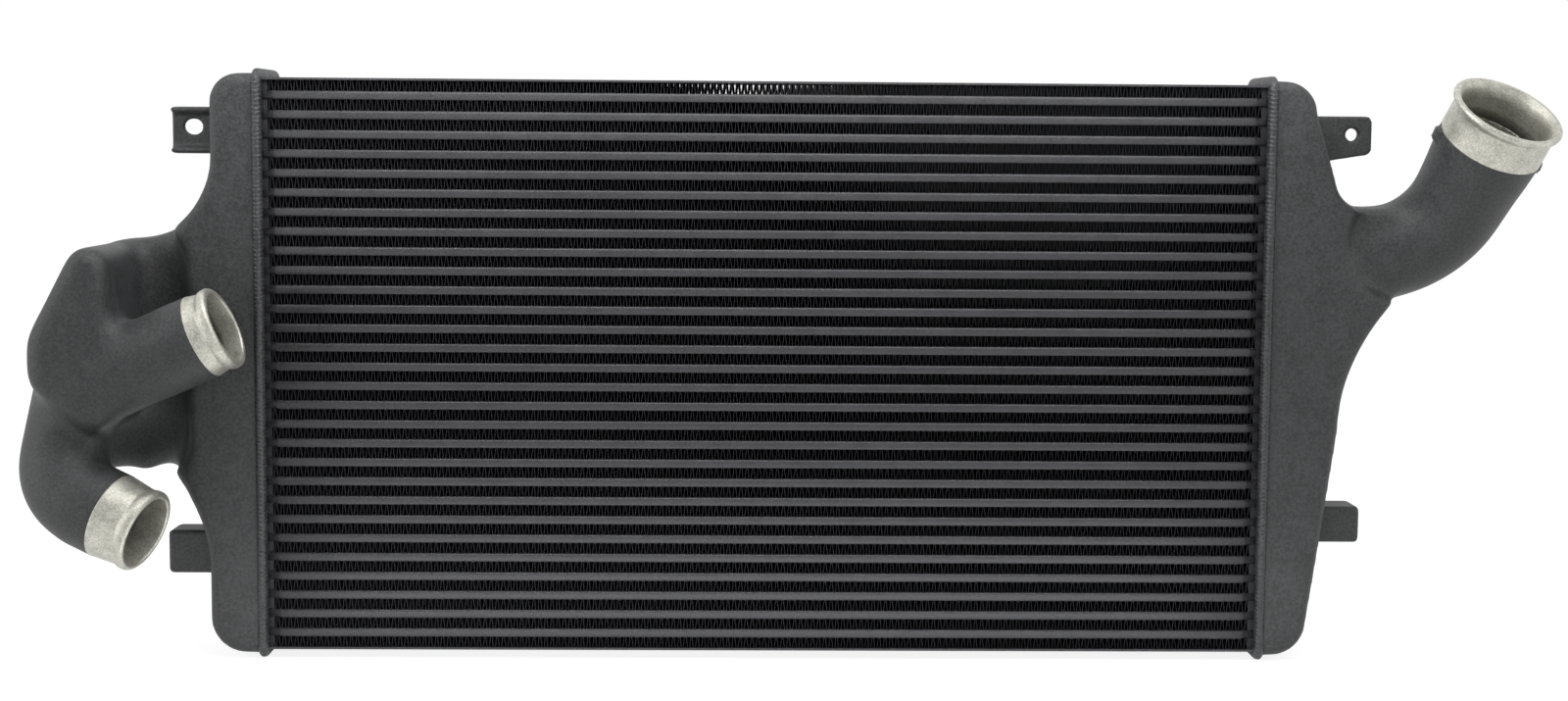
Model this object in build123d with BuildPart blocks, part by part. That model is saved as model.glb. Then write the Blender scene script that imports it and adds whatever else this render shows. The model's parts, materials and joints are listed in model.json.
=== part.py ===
from build123d import *
import math
import os

# Bar-and-plate charge-air cooler: a brazed core, two cast end tanks and two weld beads.
# Units are millimetres. X runs along the core towards the single large neck, Y runs
# through the core away from the small necks, and Z is up. The origin is the middle of
# the core's underside.

# ---- core -------------------------------------------------------------------
core_length = 712.0
core_depth = 64.0
tube_count = 29
fin_height = 7.6
passage_height = 5.0
sheet_thickness = 0.5
side_plate_thickness = 1.5
closing_bar_width = 5.0
bar_edge_chamfer = 1.0
header_bar_width = 7.0
fin_setback = 1.2
fin_thickness = 0.4
folds_per_fin_strip = 8
turbulator_thickness = 0.3
turbulator_folds = 3
turbulator_end_setback = 3.0

# ---- end tanks: one shell thickness, one mouth, one edge form -----------------
casting_wall = 4.5
tank_overhang = 3.0
tank_edge_chamfer = 4.0
top_corner_radius = 20.0
bottom_corner_radius = 25.0

# how far a cutting form runs past the face that it opens
cut_margin = 1.0

# weld beads, lying on the core beside each tank mouth
bead_width = 8.0
bead_crown = 3.5
bead_chamfer = 2.5

# ---- left tank: reaches are measured out from the core's end ------------------
left_upper_reach = 33.5
left_lower_reach = 37.5
duct_top = 290.5
duct_sweep_radius = 60.0
toe_sweep_radius = 100.0
toe_sweep_start = 58.0
toe_reach = 70.0
face_step_reach = 52.0
face_step_low = 144.0
face_step_high = 281.0
face_step_toe = 14.0
face_step_flare = 22.0
face_step_corner = 8.0
duct_setback = 25.0
duct_low_reach = 97.0
duct_low_height = 119.0
duct_overlap = 25.0
duct_end_low = 174.0
duct_corner_radius = 12.0

# manifold block that turns the duct forwards
block_inner_reach = 90.0
block_top_width = 24.0
block_slope_run = 33.0
block_front = 98.0
block_top = 289.0
block_bottom = 150.0
block_corner_radius = 12.0
block_slope_radius = 20.0
block_bevel = 8.0
block_slope_low = 226.0
block_waist = 192.0

# small necks: rim centre measured out from the core's end, forwards and up
upper_neck_reach = 13.4
upper_neck_forward = 78.0
upper_neck_height = 234.6
upper_neck_direction = (0.914, -0.073, 0.399)
upper_branch_length = 112.0
upper_branch_root_diameter = 61.0
upper_branch_diameter = 58.5
upper_neck_diameter = 56.0
upper_lip_diameter = 58.4
upper_bare_length = 17.5
lower_neck_reach = 66.2
lower_neck_forward = 92.0
lower_neck_height = 94.5
lower_neck_direction = (0.896, -0.249, -0.367)
lower_branch_length = 72.0
lower_branch_diameter = 60.5
lower_neck_diameter = 57.0
lower_lip_diameter = 58.6
lower_bare_length = 28.0
lower_bend_radius = 34.0
lower_bend_rise = 84.0
lower_bend_depth = 44.0
lower_bend_shift = 7.0

# ---- right tank ---------------------------------------------------------------
right_upper_reach = 32.5
right_lower_reach = 34.5
right_top_corner_radius = 23.0
right_lean_reach = 53.0
right_lean_height = 160.0
right_flare_middle_reach = 66.0
right_flare_middle_height = 212.0
right_flare_reach = 98.0
right_flare_height = 258.0
right_throat_reach = 52.0
right_flare_radius = 5.5
right_throat_top = 319.0
right_throat_radius = 22.0
heel_radius = 38.0
heel_reach = 95.0
heel_height = 293.0
heel_depth = 14.0

# large neck, measured in the same way
big_neck_reach = 159.0
big_neck_forward = 57.0
big_neck_height = 388.6
big_neck_direction = (0.253, -0.531, 0.809)
big_branch_length = 118.0
big_branch_root_diameter = 68.0
big_branch_diameter = 74.0
big_neck_diameter = 73.5
big_lip_diameter = 80.5
big_bare_length = 28.0
big_bend_radius = 60.0
big_bend_root_reach = 25.0
big_bend_root_drop = 20.0
nub_back_from_rim = 34.0
nub_length = 9.0
nub_width = 8.0
nub_height = 3.0

# every neck
neck_wall = 3.8
lip_width = 5.5
lip_chamfer = 1.8

# ---- mounting lugs, cast with the tanks; each projects beyond its tank's side ----
channel_projection = 32.0
channel_top = 384.5
channel_height = 33.0
channel_flange_thickness = 4.5
channel_flange_front = 9.0
channel_web_front = 4.0
channel_web_thickness = 5.0
channel_slot_length = 13.0
channel_slot_width = 11.0
channel_slot_from_tip = 15.0
channel_slot_from_top = 14.0
plate_projection = 45.5
plate_top = 384.0
plate_tip_height = 27.0
plate_root_height = 35.0
plate_front = 6.0
plate_thickness = 8.0
plate_corner_radius = 4.0
plate_hole_diameter = 9.5
plate_hole_from_tip = 14.0
plate_hole_from_top = 13.0
foot_depth = 30.0
foot_corner_radius = 3.0
left_foot_projection = 33.5
left_foot_top = 82.5
left_foot_height = 31.0
right_foot_projection = 41.0
right_foot_top = 103.0
right_foot_height = 26.0

# ---- worked out from the values above ------------------------------------------
tube_height = passage_height + 2 * sheet_thickness
row_pitch = tube_height + fin_height
first_tube_bottom = side_plate_thickness + fin_height
fin_rows = tube_count + 1
core_height = 2 * side_plate_thickness + fin_rows * fin_height + tube_count * tube_height
core_end = core_length / 2
core_middle = core_height / 2
tank_half_depth = core_depth / 2 + tank_overhang
fin_length = core_length - 2 * header_bar_width
tank_bottom = -tank_overhang
tank_top = core_height + tank_overhang

os.makedirs("parts", exist_ok=True)


def zigzag(length, height, thickness, folds):
    """Points round a folded sheet: length along x, folds along y, about the origin."""
    half_pitch = length / (2 * folds)
    slope = math.atan2(height, half_pitch)
    rise = thickness / math.cos(slope)
    low = [(-length / 2 + half_pitch * i, -height / 2 + (height - rise) * (i % 2))
           for i in range(2 * folds + 1)]
    high = [(x, y + rise) for x, y in low]
    return low + high[::-1]


def flat_edges(form, y):
    """Edges of a form that lie in the plane at this y, apart from those of the mouth."""
    return [edge for edge in form.edges()
            if edge.bounding_box().size.Y < 0.001 and abs(edge.center().Y - y) < 0.001
            and abs(edge.center().X) > core_end + cut_margin]


def neck_stop(rim, direction, back):
    """Plane across a neck, this far back from its rim."""
    return Plane(origin=rim - direction * back, z_dir=direction)


def neck_end(rim, direction, bare_length, root_diameter, diameter, lip_diameter):
    """Turned end of a neck: a light taper with a bevelled hose lip at the rim."""
    with BuildPart(neck_stop(rim, direction, lip_width)) as end:
        Cylinder(lip_diameter / 2, lip_width, align=(Align.CENTER, Align.CENTER, Align.MIN))
        chamfer(end.edges().filter_by(GeomType.CIRCLE), lip_chamfer)
        with Locations((0, 0, lip_width - bare_length)):
            Cone(root_diameter / 2, diameter / 2, bare_length,
                 align=(Align.CENTER, Align.CENTER, Align.MIN))
    return end.part


# ---- brazed core ----------------------------------------------------------------
for k in range(tube_count):
    tube_middle = first_tube_bottom + tube_height / 2 + k * row_pitch
    with BuildPart() as charge_tube:
        with BuildSketch(Plane.YZ.offset(-core_end)) as section:
            with Locations((0, tube_middle)):
                Rectangle(core_depth, tube_height)
                chamfer(section.vertices(), bar_edge_chamfer)
                Rectangle(core_depth - 2 * closing_bar_width, passage_height, mode=Mode.SUBTRACT)
        extrude(amount=core_length)
    charge_tube.part.label = f"charge_tube_{k + 1:02d}"
    export_step(charge_tube.part, f"parts/charge_tube_{k + 1:02d}.step")

with BuildPart() as turbulators:
    with BuildSketch(Plane.YZ.offset(-core_end + turbulator_end_setback)):
        with Locations((0, core_middle)):
            with GridLocations(0, row_pitch, 1, tube_count):
                Polygon(*zigzag(core_depth - 2 * closing_bar_width, passage_height,
                                turbulator_thickness, turbulator_folds), align=None)
    extrude(amount=core_length - 2 * turbulator_end_setback)
turbulators.part.label = "turbulators"
export_step(turbulators.part, "parts/turbulators.step")

with BuildPart() as cooling_fins:
    fin_depth = core_depth - 2 * fin_setback
    with BuildSketch(Plane.XZ.offset(-fin_depth / 2)):
        with Locations((0, core_middle)):
            with GridLocations(0, row_pitch, 1, fin_rows):
                Polygon(*zigzag(fin_length, fin_height, fin_thickness, folds_per_fin_strip),
                        align=None)
    extrude(amount=fin_depth)
cooling_fins.part.label = "cooling_fins"
export_step(cooling_fins.part, "parts/cooling_fins.step")

for side, sign in (("left", -1), ("right", 1)):
    with BuildPart() as header_bars:
        with BuildSketch(Plane.YZ.offset(sign * core_end)):
            with Locations((0, core_middle)):
                with GridLocations(0, row_pitch, 1, fin_rows):
                    Rectangle(core_depth, fin_height)
        extrude(amount=-sign * header_bar_width)
    header_bars.part.label = f"{side}_header_bars"
    export_step(header_bars.part, f"parts/{side}_header_bars.step")

for name, height in (("bottom", side_plate_thickness / 2),
                     ("top", core_height - side_plate_thickness / 2)):
    with BuildPart() as side_plate:
        with Locations((0, 0, height)):
            Box(core_length, core_depth, side_plate_thickness)
    side_plate.part.label = f"{name}_side_plate"
    export_step(side_plate.part, f"parts/{name}_side_plate.step")


# ---- left tank --------------------------------------------------------------------
upper_rim = Vector(-(core_end + upper_neck_reach), -upper_neck_forward, upper_neck_height)
upper_axis = Vector(upper_neck_direction).normalized()
lower_rim = Vector(-(core_end + lower_neck_reach), -lower_neck_forward, lower_neck_height)
lower_axis = Vector(lower_neck_direction).normalized()
lower_knee = lower_rim - lower_axis * lower_branch_length
with BuildLine() as lower_route:
    FilletPolyline(lower_knee + Vector(lower_bend_shift, lower_bend_depth, lower_bend_rise),
                   lower_knee, lower_rim - lower_axis * lower_bare_length,
                   radius=lower_bend_radius)


def left_body(inset):
    """Plate-sided tank and its duct: the outside for inset 0, the hollow for the wall."""
    mouth = -core_end + inset
    upper = -(core_end + left_upper_reach)
    lower = -(core_end + left_lower_reach)
    toe_x = -(core_end + toe_reach)
    toe_centre_x = lower - toe_sweep_radius
    toe_z = toe_sweep_start + math.sqrt(toe_sweep_radius**2 - (toe_x - toe_centre_x)**2)
    duct_end = -(core_end + block_inner_reach + duct_overlap)
    step = -(core_end + face_step_reach)
    toe = step - face_step_toe
    beyond = duct_end - cut_margin
    half_depth = tank_half_depth - inset
    with BuildPart() as body:
        with BuildSketch(Plane.XZ.offset(-half_depth)):
            with BuildLine():
                base = Line((mouth, tank_bottom), (lower + bottom_corner_radius, tank_bottom))
                heel = RadiusArc(base @ 1, (lower, tank_bottom + bottom_corner_radius),
                                 bottom_corner_radius)
                side = Line(heel @ 1, (lower, toe_sweep_start))
                toe_arc = RadiusArc(side @ 1, (toe_x, toe_z), -toe_sweep_radius)
                duct = FilletPolyline(toe_arc @ 1,
                                      (-(core_end + duct_low_reach), duct_low_height),
                                      (duct_end, duct_end_low), (duct_end, duct_top),
                                      (upper - duct_sweep_radius, duct_top),
                                      radius=duct_corner_radius)
                sweep_arc = RadiusArc(duct @ 1, (upper, duct_top + duct_sweep_radius),
                                      -duct_sweep_radius)
                rise = Line(sweep_arc @ 1, (upper, tank_top - top_corner_radius))
                crown = RadiusArc(rise @ 1, (upper + top_corner_radius, tank_top),
                                  top_corner_radius)
                top = Line(crown @ 1, (mouth, tank_top))
                Line(top @ 1, base @ 0)
            make_face()
            if inset:
                offset(amount=-inset, kind=Kind.INTERSECTION)
        extrude(amount=2 * half_depth)
        # the duct's front face lies well behind the tank's
        with BuildSketch(Plane.XZ.offset(tank_half_depth - duct_setback - inset)):
            with BuildLine():
                FilletPolyline((step, face_step_high), (step, face_step_low),
                               (toe, face_step_low - face_step_flare), (beyond, tank_bottom),
                               (beyond, tank_top), (toe - face_step_toe, tank_top),
                               (toe, face_step_high + face_step_flare),
                               radius=face_step_corner, close=True)
            make_face()
            if inset:
                offset(amount=inset, kind=Kind.INTERSECTION)
        extrude(amount=duct_setback + inset + cut_margin, mode=Mode.SUBTRACT)
        if not inset:
            chamfer(flat_edges(body, -tank_half_depth), tank_edge_chamfer)
            chamfer(flat_edges(body, tank_half_depth), tank_edge_chamfer)
    return body.part


def manifold_block(inset):
    """Deep block at the duct's end, where the flow turns forwards and splits."""
    inner = -(core_end + block_inner_reach)
    slope_top = inner - block_top_width
    outer = slope_top - block_slope_run
    with BuildPart() as block:
        with BuildSketch(Plane.XZ.offset(inset - tank_half_depth)):
            with BuildLine():
                FilletPolyline((inner, block_top), (slope_top, block_top),
                               (outer, block_slope_low), (outer, block_waist),
                               (inner, block_bottom), close=True,
                               radius=[block_corner_radius, block_corner_radius,
                                       block_slope_radius, block_slope_radius,
                                       block_corner_radius])
            make_face()
            if inset:
                offset(amount=-inset, kind=Kind.INTERSECTION)
        extrude(amount=tank_half_depth + block_front - 2 * inset)
        chamfer(block.faces().sort_by(Axis.Y)[0].edges(), block_bevel - inset / 2)
    return block.part


with BuildPart(neck_stop(upper_rim, upper_axis, upper_branch_length)) as upper_branch:
    Cone(upper_branch_root_diameter / 2, upper_branch_diameter / 2,
         upper_branch_length - upper_bare_length,
         align=(Align.CENTER, Align.CENTER, Align.MIN))

with BuildPart() as lower_branch:
    with BuildSketch(Plane(origin=lower_route.line @ 0, z_dir=lower_route.line % 0)):
        Circle(lower_branch_diameter / 2)
    sweep(path=lower_route.line)

with BuildPart() as left_hollow:
    add(left_body(casting_wall))
    add(manifold_block(casting_wall))
    with Locations(neck_stop(upper_rim, upper_axis, upper_branch_length)):
        Cylinder(upper_neck_diameter / 2 - neck_wall, upper_branch_length,
                 align=(Align.CENTER, Align.CENTER, Align.MIN))
    with BuildSketch(Plane(origin=lower_route.line @ 0, z_dir=lower_route.line % 0)):
        Circle(lower_neck_diameter / 2 - neck_wall)
    sweep(path=lower_route.line)
    with Locations(neck_stop(lower_rim, lower_axis, lower_bare_length)):
        Cylinder(lower_neck_diameter / 2 - neck_wall, lower_bare_length,
                 align=(Align.CENTER, Align.CENTER, Align.MIN))

with BuildPart() as channel_lug:
    channel_tip = -(core_end + left_upper_reach + channel_projection)
    channel_middle = channel_top - channel_height / 2
    with BuildSketch(Plane.XZ.offset(channel_web_front)):
        with Locations((channel_tip, channel_middle)):
            Rectangle(channel_projection + casting_wall, channel_height,
                      align=(Align.MIN, Align.CENTER))
        with Locations((channel_tip + channel_slot_from_tip, channel_top - channel_slot_from_top)):
            SlotOverall(channel_slot_length, channel_slot_width, mode=Mode.SUBTRACT)
    extrude(amount=-channel_web_thickness)
    with BuildSketch(Plane.XZ.offset(channel_web_front)):
        with Locations((channel_tip, channel_middle)):
            with GridLocations(0, channel_height - channel_flange_thickness, 1, 2):
                Rectangle(channel_projection + casting_wall, channel_flange_thickness,
                          align=(Align.MIN, Align.CENTER))
    extrude(amount=channel_flange_front - channel_web_front)

with BuildPart() as left_foot:
    foot_tip = -(core_end + left_lower_reach + left_foot_projection)
    with Locations((foot_tip, 0, left_foot_top)):
        Box(left_foot_projection + casting_wall, foot_depth, left_foot_height,
            align=(Align.MIN, Align.CENTER, Align.MAX))
    fillet(left_foot.edges().group_by(Axis.X)[0], foot_corner_radius)

with BuildPart() as left_tank:
    add(left_body(0))
    add(manifold_block(0))
    add(upper_branch.part)
    add(lower_branch.part)
    add(neck_end(upper_rim, upper_axis, upper_bare_length, upper_branch_diameter,
                 upper_neck_diameter, upper_lip_diameter))
    add(neck_end(lower_rim, lower_axis, lower_bare_length, lower_branch_diameter,
                 lower_neck_diameter, lower_lip_diameter))
    add(channel_lug.part)
    add(left_foot.part)
    add(left_hollow.part, mode=Mode.SUBTRACT)
left_tank.part.label = "left_tank"
export_step(left_tank.part, "parts/left_tank.step")

# ---- right tank -------------------------------------------------------------------
big_rim = Vector(core_end + big_neck_reach, -big_neck_forward, big_neck_height)
big_axis = Vector(big_neck_direction).normalized()
big_knee = big_rim - big_axis * big_branch_length
with BuildLine() as big_route:
    FilletPolyline((core_end + big_bend_root_reach, big_knee.Y, big_knee.Z - big_bend_root_drop),
                   big_knee, big_rim - big_axis * big_bare_length, radius=big_bend_radius)
big_run = big_route.edges().filter_by(GeomType.LINE).sort_by(Axis.Z)[-1]


def right_body(inset):
    """Plate-sided tank that leans out towards the single large neck."""
    mouth = core_end - inset
    upper = core_end + right_upper_reach
    lower = core_end + right_lower_reach
    flare_x = core_end + right_flare_reach
    half_depth = tank_half_depth - inset
    with BuildPart() as body:
        with BuildSketch(Plane.XZ.offset(-half_depth)):
            with BuildLine():
                base = Line((mouth, tank_bottom), (lower - bottom_corner_radius, tank_bottom))
                heel = RadiusArc(base @ 1, (lower, tank_bottom + bottom_corner_radius),
                                 -bottom_corner_radius)
                lean = Line(heel @ 1, (core_end + right_lean_reach, right_lean_height))
                flare = ThreePointArc(lean @ 1, (core_end + right_flare_middle_reach,
                                                 right_flare_middle_height),
                                      (flare_x, right_flare_height))
                throat = FilletPolyline(flare @ 1, (flare_x, right_throat_top),
                                        (core_end + right_throat_reach, right_throat_top),
                                        (upper, tank_top - right_top_corner_radius),
                                        radius=[right_flare_radius, right_throat_radius])
                crown = RadiusArc(throat @ 1, (upper - right_top_corner_radius, tank_top),
                                  -right_top_corner_radius)
                top = Line(crown @ 1, (mouth, tank_top))
                Line(top @ 1, base @ 0)
            make_face()
            if inset:
                offset(amount=-inset, kind=Kind.INTERSECTION)
        extrude(amount=2 * half_depth)
        # round step in the face, behind which the duct leaves the tank
        with BuildSketch(Plane.XZ.offset(tank_half_depth - heel_depth - inset)):
            with Locations((core_end + heel_reach, heel_height)):
                Circle(heel_radius + inset)
        extrude(amount=heel_depth + inset + cut_margin, mode=Mode.SUBTRACT)
        if not inset:
            chamfer(flat_edges(body, -tank_half_depth), tank_edge_chamfer)
            chamfer(flat_edges(body, tank_half_depth), tank_edge_chamfer)
    return body.part


def outlet(inset):
    """Bent duct from the tank's throat, which swells on its way to the large neck."""
    with BuildPart() as duct:
        with BuildSketch(Plane(origin=big_route.line @ 0, z_dir=big_route.line % 0)):
            Circle(big_branch_root_diameter / 2 - inset)
        sweep(path=big_route.line)
        with Locations(Plane(origin=big_run @ 0, z_dir=big_axis)):
            Cone(big_branch_root_diameter / 2 - inset, big_branch_diameter / 2 - inset,
                 big_run.length, align=(Align.CENTER, Align.CENTER, Align.MIN))
    return duct.part


with BuildPart() as right_hollow:
    add(right_body(casting_wall))
    add(outlet(neck_wall))
    with Locations(neck_stop(big_rim, big_axis, big_bare_length)):
        Cylinder(big_neck_diameter / 2 - neck_wall, big_bare_length,
                 align=(Align.CENTER, Align.CENTER, Align.MIN))

with BuildPart() as plate_lug:
    plate_start = core_end + right_upper_reach - casting_wall
    plate_tip = core_end + right_upper_reach + plate_projection
    with BuildSketch(Plane.XZ.offset(plate_front)) as plate_outline:
        with BuildLine():
            Polyline((plate_start, plate_top), (plate_tip, plate_top),
                     (plate_tip, plate_top - plate_tip_height),
                     (plate_start, plate_top - plate_root_height), close=True)
        make_face()
        fillet(plate_outline.vertices().group_by(Axis.X)[-1], plate_corner_radius)
        with Locations((plate_tip - plate_hole_from_tip, plate_top - plate_hole_from_top)):
            Circle(plate_hole_diameter / 2, mode=Mode.SUBTRACT)
    extrude(amount=-plate_thickness)

with BuildPart() as right_foot:
    foot_tip = core_end + right_lower_reach + right_foot_projection
    with Locations((foot_tip, 0, right_foot_top)):
        Box(right_foot_projection + casting_wall, foot_depth, right_foot_height,
            align=(Align.MAX, Align.CENTER, Align.MAX))
    fillet(right_foot.edges().group_by(Axis.X)[-1], foot_corner_radius)

with BuildPart() as hose_stops:
    with Locations(Plane(origin=big_rim - big_axis * nub_back_from_rim,
                         x_dir=(big_axis.Z, 0, -big_axis.X), z_dir=big_axis)):
        with GridLocations(big_branch_diameter, 0, 2, 1):
            Box(2 * nub_height, nub_width, nub_length)

with BuildPart() as right_tank:
    add(right_body(0))
    add(outlet(0))
    add(neck_end(big_rim, big_axis, big_bare_length, big_branch_diameter,
                 big_neck_diameter, big_lip_diameter))
    add(hose_stops.part)
    add(plate_lug.part)
    add(right_foot.part)
    add(right_hollow.part, mode=Mode.SUBTRACT)
right_tank.part.label = "right_tank"
export_step(right_tank.part, "parts/right_tank.step")

# ---- weld beads -------------------------------------------------------------------
for side, sign in (("left", -1), ("right", 1)):
    with BuildPart() as weld_bead:
        with BuildSketch(Plane.YZ.offset(sign * (core_end - bead_width / 2))) as ring:
            with Locations((0, core_middle)):
                Rectangle(2 * (tank_half_depth + bead_crown),
                          core_height + 2 * (tank_overhang + bead_crown))
                chamfer(ring.vertices(), bead_crown)
        extrude(amount=sign * bead_width)
        chamfer(weld_bead.edges().filter_by(Plane.YZ), bead_chamfer)
        with BuildSketch(Plane.YZ.offset(sign * (core_end - bead_width))):
            with Locations((0, core_middle)):
                Rectangle(core_depth, core_height)
        extrude(amount=sign * bead_width, mode=Mode.SUBTRACT)
        with BuildSketch(Plane.YZ.offset(sign * core_end)):
            with Locations((0, core_middle)):
                Rectangle(2 * tank_half_depth, core_height + 2 * tank_overhang)
        extrude(amount=sign * bead_width, mode=Mode.SUBTRACT)
    weld_bead.part.label = f"{side}_weld_bead"
    export_step(weld_bead.part, f"parts/{side}_weld_bead.step")
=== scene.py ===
# %% [markdown]
# # A bar-and-plate intercooler
# An intercooler cools the air between a turbocharger and an engine. Flat tubes carry the
# air, folded sheets between them carry the heat away, and two aluminium castings
# gather the air at the ends. The solids come from the CAD frame, in metres, and this
# notebook gives them their finish: satin black coat, cast grain, weld ripples, fin
# folds and the bare ends of the hose necks.

# %% Load the frame
import json
import math
from functools import partial

import bmesh
import bpy
import numpy as np
from mathutils import Matrix, Vector


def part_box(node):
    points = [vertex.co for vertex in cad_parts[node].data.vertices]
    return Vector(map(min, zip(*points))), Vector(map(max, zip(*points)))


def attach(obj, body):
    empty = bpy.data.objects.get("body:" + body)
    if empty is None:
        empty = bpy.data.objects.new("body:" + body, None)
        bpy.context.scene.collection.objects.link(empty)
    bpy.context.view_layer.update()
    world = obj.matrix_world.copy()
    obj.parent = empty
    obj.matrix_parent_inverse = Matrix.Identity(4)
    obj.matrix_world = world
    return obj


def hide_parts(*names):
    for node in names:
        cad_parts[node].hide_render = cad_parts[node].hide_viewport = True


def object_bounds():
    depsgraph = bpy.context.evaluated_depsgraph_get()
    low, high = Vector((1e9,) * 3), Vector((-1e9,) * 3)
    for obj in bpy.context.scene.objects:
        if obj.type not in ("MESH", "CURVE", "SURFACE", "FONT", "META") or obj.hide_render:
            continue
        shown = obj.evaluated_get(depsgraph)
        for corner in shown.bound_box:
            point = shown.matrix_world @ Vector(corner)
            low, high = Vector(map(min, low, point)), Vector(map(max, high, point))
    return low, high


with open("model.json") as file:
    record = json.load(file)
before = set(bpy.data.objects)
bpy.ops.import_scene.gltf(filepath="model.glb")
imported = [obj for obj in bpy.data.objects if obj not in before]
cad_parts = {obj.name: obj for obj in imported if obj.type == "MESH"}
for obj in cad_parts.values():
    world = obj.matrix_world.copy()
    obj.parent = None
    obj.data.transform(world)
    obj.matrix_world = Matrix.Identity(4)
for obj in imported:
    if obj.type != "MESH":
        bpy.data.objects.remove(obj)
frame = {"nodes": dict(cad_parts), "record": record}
nodes = frame["nodes"]
mounts = {mount["name"]: mount for mount in frame["record"]["mounts"]}
cad_low, cad_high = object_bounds()
MM = 0.001
print("frame:", len(nodes), "nodes, box", [round(v, 3) for v in (*cad_low, *cad_high)])

# %% [markdown]
# ## Sizes read from the frame
# The core's box and the pitch of its rows come from the nodes, so nothing here is fitted
# by eye. The core is everything between the two tanks' mouths.

# %% Core sizes
_, plate_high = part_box("bottom_side_plate")
_, top_plate_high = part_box("top_side_plate")
tube_low, tube_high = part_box("charge_tube_01")
next_tube_low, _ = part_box("charge_tube_02")
fins_low, fins_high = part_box("cooling_fins")
core_end = plate_high.x
core_half_depth = plate_high.y
core_height = top_plate_high.z
tube_height = tube_high.z - tube_low.z
row_pitch = next_tube_low.z - tube_low.z
fin_height = row_pitch - tube_height
fin_rows = round((fins_high.z - fins_low.z + tube_height) / row_pitch)
print(f"core {2 * core_end:.3f} x {2 * core_half_depth:.3f} x {core_height:.3f} m,",
      f"{fin_rows} fin rows at {row_pitch * 1000:.1f} mm")

# %% [markdown]
# ## Small helpers
# Colours are written as sRGB hex, the way a paint chip is read off a screen, and one
# function turns them into the linear values that a shader works with. One function
# adds a shader or geometry node with its settings and links, and one puts data in the
# scene as an object.

# %% Colour, node and object helpers
def linear(hex_colour):
    """sRGB hex such as "#50504f" to linear RGBA."""
    channels = [int(hex_colour[i:i + 2], 16) / 255 for i in (1, 3, 5)]
    return tuple(c / 12.92 if c <= 0.04045 else ((c + 0.055) / 1.055)**2.4
                 for c in channels) + (1.0,)


def add_node(tree, kind, settings=None, *values, **inputs):
    """New node: settings or operation, its first inputs in order, others by name.

    An input is a plain value, a socket to link, or a node whose first output to link;
    i3 is the input at index 3, for nodes that give one name to several.
    """
    node = tree.nodes.new(kind)
    if isinstance(settings, str):
        settings = {"operation": settings}
    for name, value in (settings or {}).items():
        setattr(node, name, value)
    for key, value in (*enumerate(values), *inputs.items()):
        if isinstance(key, str):
            key = int(key[1:]) if key[1:].isdigit() else key.replace("_", " ")
        if isinstance(value, bpy.types.Node):
            value = value.outputs[0]
        if isinstance(value, bpy.types.NodeSocket):
            tree.links.new(value, node.inputs[key])
        else:
            node.inputs[key].default_value = value
    return node


def add_object(name, data):
    """Object with this data, linked to the scene."""
    piece = bpy.data.objects.new(name, data)
    bpy.context.scene.collection.objects.link(piece)
    return piece


print("casting coat, linear:", [round(c, 3) for c in linear("#474849")[:3]])

# %% [markdown]
# ## Camera
# A short telephoto view from in front, from above the middle of the core, looking
# down by about five degrees and turned to the right by about one.

# %% Camera
CAMERA_AT = Vector((-20.9, -1619.6, 366.3)) * MM
CAMERA_FORWARD = Vector((0.02137, 0.99532, -0.09428))
CAMERA_UP = Vector((-0.00565, 0.09442, 0.99552))
FOCAL_PIXELS = 2300
FRAME_PIXELS = 1600
SENSOR_MM = 36
FAR_CLIP = 50

forward = CAMERA_FORWARD.normalized()
right = forward.cross(CAMERA_UP).normalized()
up = right.cross(forward)
camera_data = bpy.data.cameras.new("camera")
camera_data.sensor_width = SENSOR_MM
camera_data.lens = SENSOR_MM * FOCAL_PIXELS / FRAME_PIXELS
camera_data.clip_end = FAR_CLIP
camera = add_object("camera", camera_data)
turn = Matrix((right, up, -forward)).transposed().to_4x4()
camera.matrix_world = Matrix.Translation(CAMERA_AT) @ turn
bpy.context.scene.camera = camera
print("lens", camera_data.lens, "mm")

# %% [markdown]
# ## Floor, world and lamps
# The cooler stands in a white light tent whose front is open to a dimmer room. So its
# sides, top and outlines catch light, and hollows that only see the front stay dark. The
# floor and the tent show plain white to the camera, and the floor keeps a faint shadow.

# %% Floor
FLOOR_GLOW = 0.83
FLOOR_PAPER = "#b8b8b8"
FLOOR_REACH = 12.0
WHITE = (1, 1, 1, 1)

floor_mesh = bpy.data.meshes.new("floor")
floor_corners = [(x * FLOOR_REACH, y * FLOOR_REACH, cad_low[2])
                 for x, y in ((-1, -1), (1, -1), (1, 1), (-1, 1))]
floor_mesh.from_pydata(floor_corners, [], [(0, 1, 2, 3)])
floor = add_object("floor", floor_mesh)
floor_paint = bpy.data.materials.new("white_tent_floor")
floor_paint.use_nodes = True
tree = floor_paint.node_tree
tree.nodes.clear()
rays = add_node(tree, "ShaderNodeLightPath")
seen = add_node(tree, "ShaderNodeMath", "MAXIMUM", rays.outputs["Is Camera Ray"],
                rays.outputs["Is Glossy Ray"])
glow_level = add_node(tree, "ShaderNodeMath", "MULTIPLY", seen, FLOOR_GLOW)
paper = add_node(tree, "ShaderNodeBsdfDiffuse", Color=linear(FLOOR_PAPER))
glow = add_node(tree, "ShaderNodeEmission", Color=WHITE, Strength=glow_level)
both = add_node(tree, "ShaderNodeAddShader", None, paper, glow)
add_node(tree, "ShaderNodeOutputMaterial", Surface=both)
floor_mesh.materials.append(floor_paint)
print("floor at", round(cad_low[2], 4), "m")

# %% Tent
TENT_LEVEL = 0.45
FRONT_LEVEL = 0.5
OPENING = (-0.95, -0.3)     # Y of the view ray, from the open front to the tent's wall

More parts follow.
